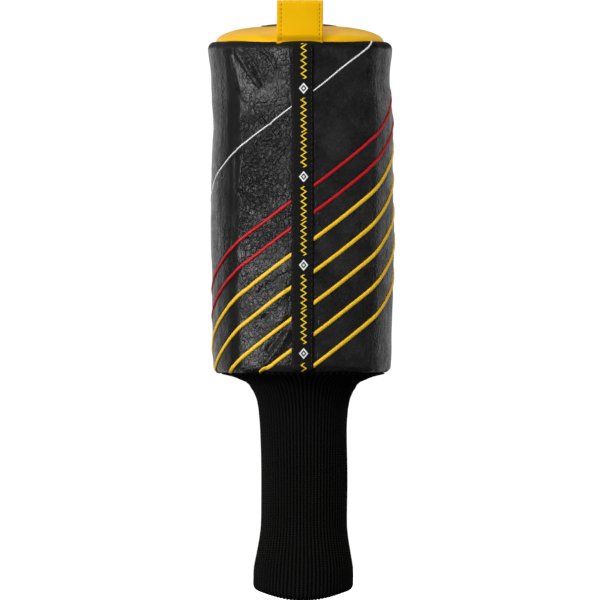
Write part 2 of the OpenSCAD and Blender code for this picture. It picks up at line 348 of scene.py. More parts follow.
def black_leather():
    s = Shader("black_leather")
    at = s.place()
    spot = s.node("ShaderNodeSeparateXYZ", Vector=at)
    warp = s.noise(at, 120, 2)
    bent = s.node("ShaderNodeVectorMath", {"operation": "MULTIPLY_ADD"}, i0=s.node("ShaderNodeCombineXYZ", X=warp, Y=s.noise(at, 95, 2), Z=s.noise(at, 150, 2)), i1=(0.004, 0.004, 0.004), i2=at).outputs[0]
    grain = s.cells(bent, 900, "SMOOTH_F1", 1.0, 0.4)
    creases = s.steps(s.cells(bent, 330, "DISTANCE_TO_EDGE"), 0.0, 0.2)
    fine = s.steps(s.cells(bent, 760, "DISTANCE_TO_EDGE"), 0.0, 0.3)
    # the wrinkled side left of the ribbon
    left = s.math("MULTIPLY", s.steps(spot.outputs[0], -0.036, -0.031), s.steps(spot.outputs[0], -0.004, -0.009))
    wrinkled = s.math("MULTIPLY", left, s.steps(spot.outputs[1], 0.0, -0.01))
    patchy = s.math("MULTIPLY", wrinkled, s.steps(s.noise(at, 45, 2), 0.35, 0.6, 0.35, 1.0))
    front = s.steps(spot.outputs[1], 0.0, -0.01)
    # a smooth hollow runs down past the loose side; painted shade darkens its colour there, and its bumps are calmed
    shaded_hollow = s.math("MULTIPLY", s.steps(spot.outputs[0], -0.0452, -0.0385), s.steps(spot.outputs[0], -0.0325, -0.036))
    shaded_hollow = s.math("MULTIPLY", shaded_hollow, s.math("MULTIPLY", front, s.steps(s.noise(s.place((60, 60, 14)), 1.0, 2), 0.3, 0.6, 0.6, 0.95)))
    calm = s.math("MULTIPLY_ADD", shaded_hollow, -0.92, 1.0)
    streaks = s.noise(s.place((330, 330, 45)), 1.0, 3, 0.6)
    streaks = s.math("MULTIPLY", streaks, calm)
    # finely crackled halfway up, and smoother near the top and the bottom
    rows = s.math("MULTIPLY", s.steps(spot.outputs[2], 0.18, 0.22, 0.22, 1.0), s.steps(spot.outputs[2], TOP_Z - 30 * MM, TOP_Z - 44 * MM, 0.3, 1.0))
    crease_depth = s.math("MULTIPLY", s.math("MULTIPLY_ADD", s.math("MULTIPLY", patchy, rows), 0.82, 0.18), calm)
    crackle = s.math("MULTIPLY", creases, crease_depth)
    mottle = s.math("MULTIPLY", s.noise(bent, 520, 3, 0.6), crease_depth)
    fine_crackle = s.math("MULTIPLY", fine, crease_depth)
    shade = s.mix(s.steps(s.noise(at, 60, 5, 0.65), 0.36, 0.66), (0.0055, 0.0055, 0.0057), (0.0215, 0.021, 0.0205))
    # painted shade: the base colour darkens along the crackle's creases
    shade = s.mix(s.math("MULTIPLY", s.math("SUBTRACT", 1.0, creases), crease_depth), shade, (0.002, 0.002, 0.002))
    # the rolled top seam and the bottom seam beside the ribbon are rougher, and painted shade darkens their colour
    height = s.math("MULTIPLY_ADD", s.noise(at, 90, 2), 0.003, spot.outputs[2])
    wide = s.math("ABSOLUTE", spot.outputs[0])
    top_seam = s.steps(height, TOP_Z - 4.5 * MM, TOP_Z - 0.2 * MM)
    low_seam = s.math("MULTIPLY", s.steps(height, BOTTOM_Z + 7.5 * MM, BOTTOM_Z + 5 * MM), s.math("MULTIPLY", front, s.steps(wide, 0.024, 0.017)))
    dull_shaded_seams = s.math("MAXIMUM", top_seam, low_seam)
    patches = s.steps(s.noise(at, 68, 3, 0.5, 0.6), 0.38, 0.62, 0.25, 1.0)
    patches = s.math("MULTIPLY_ADD", s.math("SUBTRACT", patches, 1.0), s.math("MULTIPLY_ADD", wrinkled, 0.4, 0.6), 1.0)
    shade = s.mix(patches, (0.005, 0.005, 0.005), shade)
    # painted shade: the seams and the hollow get a near-black base colour
    shade = s.mix(s.math("MAXIMUM", dull_shaded_seams, shaded_hollow), shade, (0.003, 0.0027, 0.0025))
    rough = s.math("MULTIPLY_ADD", patches, -0.22, s.steps(s.noise(at, 300, 3), 0.3, 0.7, 0.47, 0.6))
    rough = s.math("MULTIPLY_ADD", s.math("SUBTRACT", 0.36, rough), shaded_hollow, rough)
    s.set(Base_Color=shade, Roughness=s.math("MAXIMUM", rough, s.math("MULTIPLY", dull_shaded_seams, 0.95)), Specular_IOR_Level=0.6)
    s.relief([(grain, 0.00006), (streaks, 0.00042), (fine_crackle, 0.0003), (crackle, 0.0006), (mottle, 0.00055)])
    return s.material


def yellow_leather():
    s = Shader("yellow_leather")
    at = s.place()
    grain = s.cells(at, 1100, "SMOOTH_F1", 1.0, 0.5)
    shade = s.mix(s.noise(at, 90, 3), (0.89, 0.46, 0.0008), (0.93, 0.51, 0.0015))
    s.set(Base_Color=shade, Roughness=s.steps(s.noise(at, 400, 2), 0.3, 0.7, 0.42, 0.52), Specular_Tint=(1.0, 0.66, 0.24))
    s.relief([(grain, 0.00004), (s.noise(at, 180, 3), 0.00012)])
    return s.material


def tab_leather():
    s = Shader("tab_leather")
    at = s.place(uv=True)
    grain = s.cells(at, 1100, "SMOOTH_F1", 1.0, 0.5)
    shade = s.mix(s.noise(at, 90, 3), (0.77, 0.41, 0.0005), (0.82, 0.46, 0.001))
    # painted light and shade: the colour changes along the strap from its foot in the seam towards the fold
    from_foot = s.math("PINGPONG", s.node("ShaderNodeSeparateXYZ", Vector=at).outputs[1], 0.024)
    shade = s.mix(s.steps(from_foot, 0.0, 0.02), (0.84, 0.44, 0.0008), shade)
    s.set(Base_Color=shade, Roughness=s.steps(s.noise(at, 400, 2), 0.3, 0.7, 0.42, 0.52), Specular_Tint=(1.0, 0.6, 0.12))
    s.relief([(grain, 0.00004), (s.noise(at, 150, 3), 0.00012)])
    return s.material


def patch_leather():
    s = Shader("patch_leather")
    at = s.place()
    shade = s.mix(s.noise(at, 150, 3), (0.008, 0.008, 0.008), (0.016, 0.016, 0.016))
    s.set(Base_Color=shade, Roughness=0.5)
    s.relief([(s.cells(at, 1000, "SMOOTH_F1", 1.0, 0.4), 0.00006)])
    return s.material


def thread(name, dark, light, roughness=0.34, shine=(1, 1, 1)):
    """Shiny embroidery thread: fine twisted strands, a little uneven in colour. shine tints its highlights."""
    s = Shader(name)
    at = s.place()
    strands = s.noise(at, 2600, 2, 0.6)
    s.set(Base_Color=s.mix(s.noise(at, 700, 2), dark, light), Roughness=roughness, Specular_IOR_Level=0.7, Specular_Tint=shine)
    s.relief([(strands, 0.00005)])
    return s.material


def woven_ribbon():
    """A black tape with ribs across it, and a woven yellow zigzag between white diamonds."""
    s = Shader("woven_ribbon")
    at = s.place()
    spot = s.node("ShaderNodeSeparateXYZ", Vector=at)
    x = s.math("SUBTRACT", spot.outputs[0], RIBBON_MARK_X)
    # how far along its repeat a point lies, in metres from the middle of a diamond
    along = s.math("SUBTRACT", spot.outputs[2], RIBBON_MARK_Z - RIBBON_REPEAT / 2)
    along = s.math("SUBTRACT", s.math("FLOORED_MODULO", along, RIBBON_REPEAT), RIBBON_REPEAT / 2)
    reach = s.math("ABSOLUTE", along)
    wide = s.math("ABSOLUTE", x)
    diamond = s.math("ADD", s.math("DIVIDE", wide, 0.0026), s.math("DIVIDE", reach, 0.0031))
    ring = s.math("COMPARE", diamond, 0.8, 0.2)
    diamond = s.math("MAXIMUM", ring, s.math("LESS_THAN", diamond, 0.3))
    wave = s.math("PINGPONG", s.math("ADD", along, 1.0), ZIGZAG_PITCH / 2)
    wave = s.math("MULTIPLY_ADD", wave, 4 * ZIGZAG_REACH / ZIGZAG_PITCH, -ZIGZAG_REACH)
    bars = s.math("LESS_THAN", s.math("ABSOLUTE", s.math("SUBTRACT", x, wave)), 0.00055)
    bars = s.math("MULTIPLY", bars, s.math("GREATER_THAN", reach, 0.0052))
    weft = s.math("SINE", s.math("MULTIPLY", spot.outputs[2], TAU / 0.0006))
    warp = s.math("SINE", s.math("MULTIPLY", spot.outputs[0], TAU / 0.0008))
    weave = s.math("MULTIPLY", weft, warp)
    ground = s.mix(s.noise(at, 900, 2), (0.003, 0.003, 0.0028), (0.0065, 0.0065, 0.006))
    shade = s.mix(bars, ground, (0.95, 0.66, 0.015))
    shade = s.mix(diamond, shade, (0.82, 0.82, 0.84))
    s.set(Base_Color=shade, Roughness=0.75, Specular_IOR_Level=0.25)
    s.relief([(weave, 0.00006), (s.math("ADD", bars, diamond), 0.00012)])
    return s.material


def rib_knit():
    """Black rib knit. The weave's own coordinates count ribs across and stitches along."""
    s = Shader("rib_knit")
    at = s.place(uv=True)
    spot = s.node("ShaderNodeSeparateXYZ", Vector=at)
    across = s.math("ABSOLUTE", s.math("SUBTRACT", s.math("FRACT", spot.outputs[0]), 0.5))
    slant = s.math("MULTIPLY_ADD", across, 1.1, spot.outputs[1])
    loops = s.math("ABSOLUTE", s.math("SINE", s.math("MULTIPLY", slant, math.pi)))
    fuzz = s.noise(s.place(), 3000, 3, 0.7)
    # painted shade: the colour darkens in the valleys between ribs and between the stitch loops
    crest = s.steps(across, 0.5, 0.12)
    lit = s.math("MULTIPLY", crest, s.math("MULTIPLY_ADD", loops, 0.9, 0.2))
    shade = s.mix(s.math("MULTIPLY", lit, s.math("MULTIPLY_ADD", fuzz, 0.6, 0.5)), (0.0007, 0.0007, 0.0007), (0.0118, 0.0116, 0.011))
    s.set(Base_Color=shade, Roughness=0.9, Specular_IOR_Level=0.1)
    s.relief([(loops, 0.0003), (fuzz, 0.00008)])
    return s.material


def fleece():
    s = Shader("fleece")
    at = s.place()
    pile = s.noise(at, 1400, 4, 0.7)
    shade = s.mix(pile, (0.03, 0.03, 0.032), (0.11, 0.11, 0.115))
    s.set(Base_Color=shade, Roughness=0.95, Sheen_Weight=0.3, Sheen_Roughness=0.6)
    s.relief([(pile, 0.0003)])
    return s.material


def open_foam():
    s = Shader("open_foam")
    at = s.place()
    pores = s.cells(at, 1500)
    s.set(Base_Color=s.mix(pores, (0.35, 0.34, 0.3), (0.66, 0.65, 0.6)), Roughness=0.9)
    s.relief([(pores, 0.0002)])
    return s.material


def studio_white():
    s = Shader("studio_white")
    shade = s.mix(s.noise(s.place(), 3, 2), (0.93, 0.93, 0.93), (0.95, 0.95, 0.95))
    s.set(Base_Color=shade, Roughness=0.8, Emission_Color=(1.0, 1.0, 1.0), Emission_Strength=0.9)
    return s.material


# ---------------------------------------------------------------- the leather barrel


class Profile:
    """The barrel's outside as a curve of radius and height along s, which is the height on the wall."""

    def __init__(self):
        low = np.linspace(-math.pi / 2, 0, 24)
        high = np.linspace(0, math.pi / 2, 24)
        wall_z = np.linspace(WALL_LOW_Z, WALL_HIGH_Z, 400)
        wall_r = np.interp(wall_z, WALL_Z, WALL_R)
        wall_r = np.convolve(np.pad(wall_r, 12, mode="edge"), np.ones(25) / 25, mode="valid")
        low_r = wall_r[0] - BOTTOM_ROLL_R
        high_r = wall_r[-1] - TOP_ROLL_R
        r = np.concatenate([low_r + BOTTOM_ROLL_R * np.cos(low[:-1]), wall_r, high_r + TOP_ROLL_R * np.cos(high[1:])])
        z = np.concatenate([WALL_LOW_Z + BOTTOM_ROLL_R * np.sin(low[:-1]), wall_z, WALL_HIGH_Z + TOP_ROLL_R * np.sin(high[1:])])
        length = np.concatenate([[0], np.cumsum(np.hypot(np.diff(r), np.diff(z)))])
        self.s = length - length[len(low) - 1] + WALL_LOW_Z
        self.r, self.z = r, z
        lean = np.hypot(np.gradient(r), np.gradient(z))
        self.out_r = np.gradient(z) / lean
        self.out_z = -np.gradient(r) / lean
        self.first, self.last = self.s[0], self.s[-1]

    def at(self, turn, s, lift):
        """Points at a turn and s, lifted off the surface along its normal."""
        turn, s, lift = np.broadcast_arrays(turn, s, lift)
        r = np.interp(s, self.s, self.r) + lift * np.interp(s, self.s, self.out_r)
        z = np.interp(s, self.s, self.z) + lift * np.interp(s, self.s, self.out_z)
        return top_shift(round_z(turn, r, z))


profile = Profile()


def stripe_height(node):
    """Where a stripe's helix crosses the ribbon's middle, from its CAD node."""
    co = points_of(node)
    turn = np.arctan2(co[:, 0], -co[:, 1])
    near = (np.abs(turn) < 1) & (np.abs(co[:, 2] - co[:, 2].mean()) < 1)
    height = co[near, 2] - STRIPE_LEAD * turn[near] / TAU
    return float(np.median(height))


STRIPES = {
    "white_stripe": (stripe_height("white_stripe"), 0.78 * MM, 0.5 * MM),
    "red_stripe_1": (stripe_height("red_stripe_1"), 1.7 * MM, 0.7 * MM),
    "red_stripe_2": (stripe_height("red_stripe_2"), 1.75 * MM, 0.7 * MM),
}
for i in range(1, 6):
    STRIPES[f"yellow_stripe_{i}"] = (stripe_height(f"yellow_stripe_{i}"), 2.15 * MM, 0.85 * MM)

# Soft folds in the leather: from, by way of, to (mm right of the ribbon's middle along the surface,
# mm below the top edge), then height in mm and half width in mm
FOLDS = [
    ((-38, 4), (-32, 16), (-25, 25), 1.0, 1.2),
    ((-35, 4), (-28, 12), (-23, 24), -0.8, 1.1),
    ((-33, 3), (-26, 10), (-21, 22), 0.6, 0.9),
    ((-25, 4), (-18, 6), (-15, 15), 0.9, 1.3),
    ((-23, 7), (-18, 11), (-16, 18), -0.6, 1.2),
    ((-42, 8), (-38, 25), (-30, 38), 0.35, 2.2),
    ((-36, 34), (-24, 36), (-10, 33), -0.55, 1.4),
    ((-24, 40), (-18, 48), (-12, 52), -0.6, 1.4),
    ((-28, 58), (-20, 52), (-9, 60), -0.5, 1.6),
    ((-36, 62), (-26, 70), (-16, 64), -0.45, 1.8),
    ((-38, 84), (-22, 92), (-8, 82), -0.4, 2.2),
    ((-24, 76), (-18, 68), (-10, 58), 0.4, 1.6),
    ((-22, 178), (-14, 170), (-8, 160), 1.0, 2.4),
    ((-21, 170), (-14, 162), (-8, 152), -0.9, 2.2),
    ((-24, 150), (-16, 142), (-9, 138), 0.6, 2.4),
    ((-26, 138), (-18, 132), (-8, 128), -0.5, 2.2),
    ((12, 96), (20, 90), (24, 76), 0.2, 2.0),
    ((36, 92), (26, 100), (14, 106), -0.25, 3.0),
    ((-40, 6), (-42, 40), (-40.5, 82), -0.1, 2.4),
    ((-41.5, 60), (-40, 90), (-42, 125), -0.12, 2.4),
    ((-43, 110), (-45, 140), (-42, 172), -0.1, 2.6),
    ((42, 10), (41, 50), (43, 80), -0.3, 2.6),
]


def fold_line(fold, x, drop):
    """How much of a fold's height a point has: 1 on its curved line, fading over its half width."""
    (x0, d0), (x1, d1), (x2, d2), height, width = fold
    nearest = np.full(np.shape(x), np.inf)
    for t in np.linspace(0, 1, 25):
        px = (1 - t) ** 2 * x0 + 2 * t * (1 - t) * x1 + t * t * x2
        pd = (1 - t) ** 2 * d0 + 2 * t * (1 - t) * d1 + t * t * d2
        taper = 1 - 0.6 * abs(2 * t - 1) ** 3
        nearest = np.minimum(nearest, np.hypot(x - px, drop - pd) / taper)
    return 1.8 * height * np.exp(-((nearest / width) ** 2))


def leather_lift(turn, s, grooves=True):
    """How far the leather stands off its smooth shape: swells, folds, puckers and the stripes' grooves."""
    turn = (np.asarray(turn) + math.pi) % TAU - math.pi
    base = round_z(turn, 0.05, s)
    x = turn * 50
    drop = (TOP_Z - s) / MM
    lift = 0.55 * noise(base, 0.032, 1) + 0.25 * noise(base, 0.014, 2)
    # the loose side left of the ribbon is crumpled
    loose = ease((x + 44) / 10) * ease((-5 - x) / 6)
    crumple = 0.3 * (1 - 2 * np.abs(noise(base, 0.0062, 3))) + 0.12 * noise(base, 0.0035, 4) + 0.5 * noise(base, 0.011, 8)
    lift = lift + crumple * (0.22 + 0.78 * loose)
    # long upright ripples near the barrel's sides
    lift = lift + 0.12 * noise(base, np.array([0.004, 0.004, 0.03]), 5) * ease((np.abs(x) - 35) / 15)
    for fold in FOLDS:
        lift = lift + fold_line(fold, x, drop)
    # gathers where the crown is sewn in, and along the bottom seam
    lift = lift + 0.45 * noise(base, np.array([0.005, 0.005, 0.02]), 6) * np.exp(-np.abs(drop) / 7)
    lift = lift + 0.3 * noise(base, np.array([0.006, 0.006, 0.02]), 7) * np.exp(-np.abs(drop - 182) / 6)
    # the seam under the ribbon pulls the leather in
    edge = RIBBON_W / 2 / MM
    lift = lift - 0.4 * np.exp(-(((np.abs(x) - edge - 0.3) / 2.8) ** 2)) - 0.3 * (np.abs(x) < edge)
    if grooves:
        lift = lift - 0.4 * groove_share(turn, s)
    # smooth where the leather turns in under the crown and at the bottom
    fade = ease((s - profile.first) / (3 * MM)) * ease((profile.last - s) / (2 * MM))
    return lift * MM * fade + facet(turn) * (0.25 + 0.75 * fade)


def facet(turn):
    """The padded leather lies flatter either side of the ribbon, and turns a corner beyond it."""
    turn = (np.asarray(turn) + math.pi) % TAU - math.pi
    away = np.abs(turn)
    corner = np.where(turn < 0, 0.8, 0.9)
    flat = 1.8 * np.sin(math.pi * np.clip((away - 0.03) / (corner - 0.05), 0, 1)) ** 1.5
    return (0.5 * bump(away, corner + 0.03, 0.15) - flat) * MM


def top_shift(points):
    """The barrel's top leans to -X at its sides, as it does in use."""
    r = np.hypot(points[..., 0], points[..., 1]) + 1e-9
    share = np.abs(points[..., 0]) / r
    points = points.copy()
    points[..., 0] -= 1.5 * MM * share * ease((points[..., 2] - TOP_Z + 0.05) / 0.035) * ease((r - 0.01) / 0.03)
    return points


def groove_share(turn, s):
    """1 on a stripe's line, fading either side of it."""
    cosine = 1 / math.hypot(1, STRIPE_LEAD / TAU / 0.0497)
    share = np.zeros(np.broadcast(turn, s).shape)
    for height, width, _ in STRIPES.values():
        for lap in (-TAU, 0, TAU):
            run = turn + lap
            away = (s - height - STRIPE_LEAD * run / TAU) * cosine
            there = (run < STRIPE_REACH) & (run > -1.5 * math.pi)
            share = np.maximum(share, np.exp(-((away / (0.5 * width + 0.6 * MM)) ** 2)) * there)
    return share


def barrel_leather():
    """The barrel's leather: a closed skin with its edges turned in at the crown and the sock."""
    around, rows = 380, 218
    turn = np.linspace(-math.pi, math.pi, around, endpoint=False)
    s = np.linspace(profile.first, profile.last, rows)
    outside = profile.at(turn, s[:, None], leather_lift(turn, s[:, None]))
    inner_s = np.linspace(WALL_HIGH_Z - 1 * MM, WALL_LOW_Z + 1 * MM, 30)[:, None]
    inner = profile.at(turn, inner_s, leather_lift(turn, inner_s, grooves=False) - 1.5 * MM)
    hem_r = CAVITY_R + 1.8 * MM
    after = [(CROWN_R + 0.15 * MM, TOP_Z - 0.8 * MM), (CROWN_R + 0.1 * MM, TOP_Z - 4 * MM), (CROWN_R + 0.1 * MM, TOP_Z - 8 * MM),
             (CROWN_R + 0.9 * MM, TOP_Z - 8 * MM), (CROWN_R + 1.1 * MM, TOP_Z - 4 * MM)]
    below = [(hem_r + 1.4 * MM, BOTTOM_Z + 1.4 * MM), (hem_r + 1.2 * MM, BOTTOM_Z + 8 * MM), (hem_r + 0.1 * MM, BOTTOM_Z + 8 * MM),
             (hem_r + 0.1 * MM, BOTTOM_Z + 1.2 * MM)]
    over, under = (top_shift(np.stack([round_z(turn, r, z) for r, z in line])) for line in (after, below))
    obj = skin_rings("barrel_leather", np.concatenate([outside, over, inner, under]))
    place(obj, black_leather(), "barrel", ["body_shell"])


# ---------------------------------------------------------------- stitched stripes


def satin_stripe(node, material):
    """One stripe's two runs as rows of thread laid across it, each row a small ridge."""
    height, width, relief = STRIPES[node]
    row = 0.5 * MM
    rise = STRIPE_LEAD / TAU
    gap = math.asin((RIBBON_W / 2 - 0.1 * MM) / WALL_R[0])
    # the rows stand upright, so the ends are cut in line with the ribbon
    slope = math.hypot(1, rise / 0.0497)
    turn_low = (profile.first - height) / rise
    turn_high = min((profile.last - height) / rise, STRIPE_REACH)
    for side, (start, end) in {"right": (max(gap, turn_low), turn_high), "left": (turn_low, -gap)}.items():
        if end - start < 0.05:
            continue
        turns = row / math.hypot(rise, 0.0497)
        count = int((end - start) / turns * 3)
        turn = np.linspace(start, end, count)
        s = height + rise * turn
        lift = leather_lift(turn, s, grooves=False) - 0.15 * MM
        centre = profile.at(turn, s, lift)
        run = np.gradient(centre, axis=0)
        run /= np.linalg.norm(run, axis=1)[:, None]
        out = profile.at(turn, s, lift + MM) - centre
        out /= np.linalg.norm(out, axis=1)[:, None]
        across = np.array([0, 0, 1.0]) - out * out[:, 2:]
        across /= np.linalg.norm(across, axis=1)[:, None]
        phase = np.arange(count) / 3
        ridge = 0.5 - 0.5 * np.cos(TAU * phase)
        uneven = noise(np.stack([phase, phase * 0, phase * 0], -1), 1.0, 21)
        full = np.minimum(ease((turn - start) / 0.008), ease((end - turn) / 0.008))
        half = 0.5 * width * slope * (1 + 0.04 * uneven + 0.03 * ridge) * (0.85 + 0.15 * full)
        high = relief * (0.84 + 0.16 * ridge + 0.06 * uneven) * (0.6 + 0.4 * full)
        a = np.linspace(0, math.pi, 9)
        top = half[:, None, None] * np.cos(a)[:, None] * across[:, None] + high[:, None, None] * np.sin(a)[:, None] ** 0.8 * out[:, None]
        foot = np.stack([-0.8 * half[:, None] * across - 0.5 * MM * out, 0.8 * half[:, None] * across - 0.5 * MM * out], 1)
        rings = centre[:, None] + np.concatenate([top, foot], axis=1)
        obj = skin_rings(f"{node}_{side}", rings, "caps")
        place(obj, material, "barrel", [node])


def stripes():
    white = thread("white_thread", (0.78, 0.79, 0.8), (0.92, 0.93, 0.94))
    red = thread("red_thread", (0.44, 0.01, 0.012), (0.57, 0.016, 0.019), shine=(1, 0.26, 0.3))
    yellow = thread("yellow_thread", (0.87, 0.495, 0.014), (0.95, 0.61, 0.03), shine=(1, 0.82, 0.45))
    satin_stripe("white_stripe", white)
    for i in (1, 2):
        satin_stripe(f"red_stripe_{i}", red)
    for i in range(1, 6):
        satin_stripe(f"yellow_stripe_{i}", yellow)


# ---------------------------------------------------------------- the ribbon over the back seam


RIBBON_REPEAT = 48.5 * MM
RIBBON_MARK_Z = TOP_Z - 26 * MM
RIBBON_MARK_X = 0.6 * MM
ZIGZAG_PITCH = 3.6 * MM
ZIGZAG_REACH = 1.35 * MM
RIBBON_T = 0.7 * MM


def ribbon_surface(x, s, lift):
    turn = np.arcsin(x / 0.0497)
    soft = leather_lift(np.clip(turn, -0.05, 0.05), s, grooves=False)
    return profile.at(turn, s, soft * 0.6 + lift - 0.25 * MM)


def back_ribbon():
    rows, across = 420, 25
    s = np.linspace(profile.first + 0.5 * MM, profile.last - 0.3 * MM, rows)[:, None]
    share = np.linspace(-1, 1, across)
    # the edges wander a little, and are pulled down by their stitches
    wander = 0.12 * MM * noise(np.concatenate([s, s * 0, s * 0], 1), 0.012, 31)[:, None]
    x = share * RIBBON_W / 2 + wander
    pull = 0.12 * MM * (np.abs(share) > 0.8) * (0.5 + 0.5 * np.cos(TAU * (s - TOP_Z) / (3 * MM)))
    edge = RIBBON_T * (1 - np.abs(share) ** 14 * 0.5)
    tuck = (1 - ease((s - profile.first) / (3 * MM)) + 1 - ease((profile.last - 1.5 * MM - s) / (3.5 * MM))) * 0.9 * MM
    top = ribbon_surface(x, s, edge - pull - tuck)
    under = ribbon_surface(x[:, ::-4], s, -0.3 * MM - tuck)
    obj = skin_rings("seam_ribbon", np.concatenate([top, under], axis=1), "caps")
    place(obj, woven_ribbon(), "barrel", ["back_ribbon"])


def ribbon_stitches(material):
    s = np.arange(WALL_LOW_Z, WALL_HIGH_Z, 3 * MM)
    centres, runs, outs = [], [], []
    for side in (-1, 1):
        x = side * (RIBBON_W / 2 - 0.9 * MM)
        centre = ribbon_surface(x, s, RIBBON_T + 0.05 * MM)
        ahead = ribbon_surface(x, s + 0.5 * MM, RIBBON_T + 0.05 * MM)
        out = ribbon_surface(x, s, RIBBON_T + MM) - centre
        centres += list(centre)
        runs += list(ahead - centre)
        outs += list(out)
    obj = capsules("ribbon_thread", centres, runs, outs, 2.2 * MM, 0.2 * MM)
    place(obj, material, "barrel", ["ribbon_stitches"])


# ---------------------------------------------------------------- crown, patch and their stitches


def crown_height(r):
    """Height of the crown's smooth dome at radius r."""
    share = np.clip(r / CROWN_R, 0, 1)
    return TOP_Z + (CROWN_Z - TOP_Z) * np.sqrt(1 - share ** 3)


def crown_lift(turn, r):
    """Swells and puckers of the crown's leather, in metres of height."""
    base = round_z(turn, r, 0)
    inwards = (CROWN_R - r) / MM
    lift = 0.35 * noise(base, 0.016, 41) + 0.8 * (1 - np.clip(r / CROWN_R, 0, 1) ** 5)
    gathers = 0.35 * noise(round_z(turn, 0.046, 0), 0.0042, 42) * np.exp(-inwards / 5) * (1 - np.exp(-inwards / 0.8))
    from_tab = np.abs(r * np.sin(turn) - TAB_X) / MM - TAB_W / 2 / MM
    beside = np.exp(-((from_tab - 2) / 5) ** 2) * (np.cos(turn) > 0) * np.exp(-inwards / 7)
    pucker = -1.1 * beside + 0.5 * np.exp(-((from_tab - 9) / 4) ** 2) * (np.cos(turn) > 0) * np.exp(-inwards / 6)
    pressed = -0.9 * ease(-from_tab / 2) * (np.cos(turn) > 0) * np.exp(-inwards / 3)
    return (lift + gathers + pucker + pressed) * MM


def crown_leather():
    around = 288
    turn = np.linspace(-math.pi, math.pi, around, endpoint=False)
    share = np.sin(np.linspace(0.02, math.pi / 2, 70))
    r = share * CROWN_R
    z = crown_height(r)[:, None] + crown_lift(turn, r[:, None])
    top = np.stack([round_z(turn, r[i], z[i]) for i in range(len(r))])
    edge = CROWN_R - 0.1 * MM
    skirt = [(edge, TOP_Z - 2 * MM), (edge, TOP_Z - 8 * MM), (CROWN_R - 1.4 * MM, TOP_Z - 8 * MM), (CROWN_R - 1.6 * MM, TOP_Z - 2 * MM)]
    under_r = np.linspace(0.97, 0.02, 16) * (CROWN_R - 1.6 * MM)
    skirt += [(ri, crown_height(ri * CROWN_R / (CROWN_R - 1.6 * MM)) - 2.4 * MM) for ri in under_r]
    inside = np.stack([round_z(turn, ri, zi) for ri, zi in skirt])
    obj = skin_rings("crown_leather", top_shift(np.concatenate([top, inside])), "caps")
    place(obj, yellow_leather(), "barrel", ["crown_panel"])


PATCH_SHIFT = np.array([-1.4 * MM, 0, 0])


def crown_patch():
    around = 160
    turn = np.linspace(-math.pi, math.pi, around, endpoint=False)
    inside = np.linspace(0.04, 0.93, 26)
    a = np.linspace(math.pi / 2, -math.pi / 2, 11)
    r = np.concatenate([inside * PATCH_R, PATCH_R * 0.965 + 0.035 * PATCH_R * np.cos(a)])
    up = np.concatenate([PATCH_T * (1.35 - 0.75 * inside ** 2), 0.62 * PATCH_T * (0.4 + 0.6 * np.sin(a))])
    # a pressed ring inside the stitches
    up = up - 0.35 * MM * bump(r, 0.62 * PATCH_R, 0.7 * MM) - 0.25 * MM * bump(r, PATCH_R - 2 * MM, 0.6 * MM)
    base = round_z(turn, r[:, None], 0)
    z = crown_height(r)[:, None] + crown_lift(turn, r[:, None]) * 0.6 + up[:, None] + 0.12 * MM * noise(base, 0.006, 51)
    rings = np.stack([round_z(turn, r[i], z[i]) for i in range(len(r))])
    floor = [round_z(turn, ri, crown_height(ri) - 0.7 * MM) for ri in np.linspace(0.9, 0.04, 6) * PATCH_R]
    obj = skin_rings("crown_round_patch", top_shift(np.concatenate([rings, np.stack(floor)])) + PATCH_SHIFT, "caps")
    place(obj, patch_leather(), "barrel", ["crown_patch"])


def patch_stitches(material):
    count = 44
    turn = np.arange(count) * TAU / count
    r = PATCH_R - 2 * MM
    z = crown_height(r) + crown_lift(turn, r) * 0.6 + 0.55 * PATCH_T - 0.1 * MM
    centres = top_shift(round_z(turn, r, z)) + PATCH_SHIFT
    runs = np.stack([np.cos(turn), np.sin(turn), 0 * turn], -1)
    outs = np.tile([0, 0, 1.0], (count, 1))
    obj = capsules("patch_thread", centres, runs, outs, 2.1 * MM, 0.25 * MM)
    place(obj, material, "barrel", ["patch_stitches"])


# ---------------------------------------------------------------- the pull tab


TAB_BEND = ("barrel", "pull_tab", (TAB_X, TAB_Y, TAB_LOW.z - 1 * MM), (TAB_X, TAB_Y, TAB_LOW.z + 5 * MM))
TAB_STITCH_INSET = 2.2 * MM
TAB_STITCH_PITCH = 2.3 * MM
STRAP_T = 1.5 * MM
TAB_FOOT_Z = TAB_LOW.z - 1.6 * MM


def tab_path(t):
    """The strap's middle line: up the front, over the fold and down behind. t runs from 0 to 1."""
    apart = (TAB_HIGH.y - TAB_LOW.y) / 2 - STRAP_T / 2
    leg = TAB_HIGH.z - STRAP_T / 2 - apart - TAB_FOOT_Z
    fold = math.pi * apart
    run = t * (2 * leg + fold)
    turn = np.clip((run - leg) / apart, 0, math.pi)
    y = -apart * np.cos(turn)
    z = np.where(run < leg, run, np.where(run > leg + fold, 2 * leg + fold - run, leg + apart * np.sin(turn)))
    # the two plies are pressed together in the seam, and stand a little apart under the fold
    press = 0.45 + 0.55 * ease((z - 0.5 * MM) / (4 * MM)) + 0.35 * bump(z, leg - 1.5 * MM, 4 * MM)
    return y * press, z, turn


def tab_point(x, t, lift):
    """Points of the strap's surface: x across, t along, lift from its middle along its normal."""
    y, z, turn = tab_path(t)
    out_y, out_z = -np.cos(turn), np.sin(turn)
    tuck = 1.3 * MM * (1 - ease((z - 0.5 * MM) / (4.5 * MM)))
    lean = 0.012 * z + 0.35 * MM * np.sin((x + 4 * MM) / (5 * MM))
    return np.stack(np.broadcast_arrays(TAB_X + x + 0.01 * (z - 0.01), TAB_Y + y + tuck + out_y * lift - lean * ease(z / 0.01), TAB_FOOT_Z + z + out_z * lift), -1)


